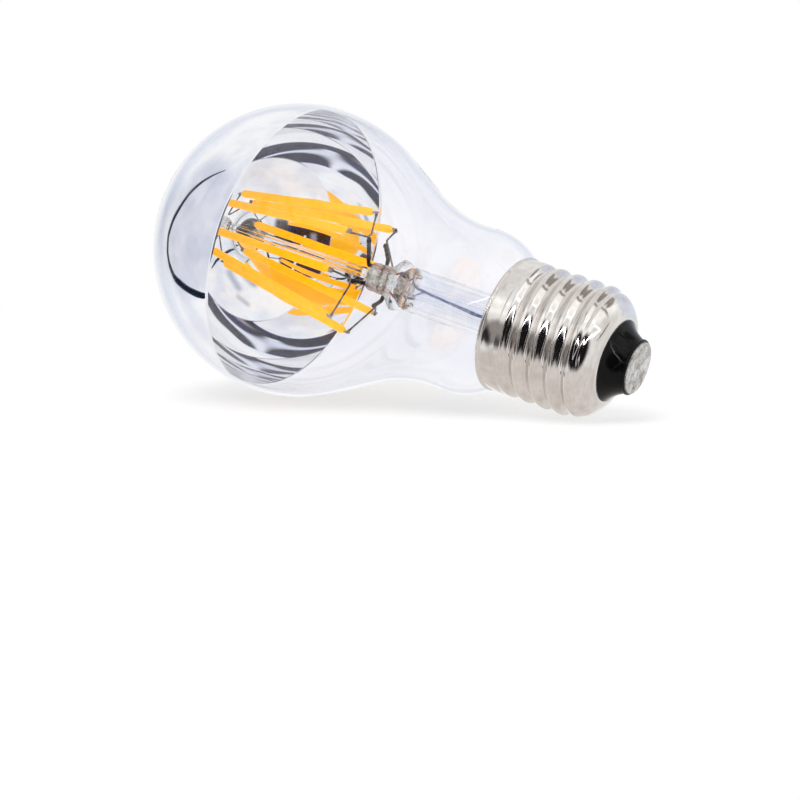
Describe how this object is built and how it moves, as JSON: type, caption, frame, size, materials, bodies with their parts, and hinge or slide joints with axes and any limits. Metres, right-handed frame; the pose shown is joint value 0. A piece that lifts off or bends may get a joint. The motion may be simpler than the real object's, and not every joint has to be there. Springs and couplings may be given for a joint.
{
  "type": "silver crown light bulb",
  "caption": "Clear filament lamp with a mirrored crown, a waisted glass neck, a cage of amber filaments and a rolled screw cap.",
  "frame": {"origin": "centre of the contact's face, on the lamp's axis, at the foot of the lamp", "axes": "+Z along the lamp's axis from the contact to the crown, +Y along the wide side of the stem's pinch, +X across it"},
  "size_m": [0.06, 0.06, 0.1078],
  "materials": {
    "clear_glass": "clear blown glass, polished",
    "silvering": "vacuum deposited aluminium under glass",
    "stem_glass": "clear lead glass tube and rod",
    "bead_glass": "fused glass bead",
    "phosphor": "amber phosphor in silicone",
    "tab_metal": "plated steel strip",
    "support_metal": "oxidised nickel wire",
    "lead_metal": "oxidised bluish wire",
    "cap_nickel": "bright nickel plate on brass, fine specks",
    "black_vitrite": "glossy black vitreous insulator",
    "contact_metal": "tinned brass, scratched",
    "solder": "solder",
    "cement": "cured basing cement",
    "board_laminate": "glass fibre laminate with green mask",
    "chip_plastic": "moulded epoxy",
    "capacitor_sleeve": "shrink sleeve",
    "resistor_body": "lacquered ceramic",
    "copper_wire": "copper wire"
  },
  "bodies": {
    "root": {"glass_bulb": "clear_glass", "mirror_coating": "silvering", "stem_flare": "stem_glass", "exhaust_tube": "stem_glass", "arbor_rod": "stem_glass", "crown_button": "bead_glass", "filament_1": "phosphor", "filament_2": "phosphor", "filament_3": "phosphor", "filament_4": "phosphor", "filament_5": "phosphor", "filament_6": "phosphor", "filament_7": "phosphor", "filament_8": "phosphor", "filament_tabs": "tab_metal", "support_wire_1": "support_metal", "support_wire_2": "support_metal", "support_wire_3": "support_metal", "support_wire_4": "support_metal", "cross_wire_1": "support_metal", "cross_wire_2": "support_metal", "cross_wire_3": "support_metal", "cross_wire_4": "support_metal", "crown_link_1": "support_metal", "crown_link_2": "support_metal", "crown_link_3": "support_metal", "crown_link_4": "support_metal", "lead_wire_1": "lead_metal", "lead_wire_2": "lead_metal", "cap_shell": "cap_nickel", "insulator": "black_vitrite", "contact_eyelet": "contact_metal", "contact_solder": "solder", "basing_cement": "cement", "driver_board": "board_laminate", "bridge_rectifier": "chip_plastic", "driver_chip": "chip_plastic", "filter_capacitor": "capacitor_sleeve", "fuse_resistor": "resistor_body", "live_wire": "copper_wire", "neutral_wire": "copper_wire"}
  },
  "joints": []
}
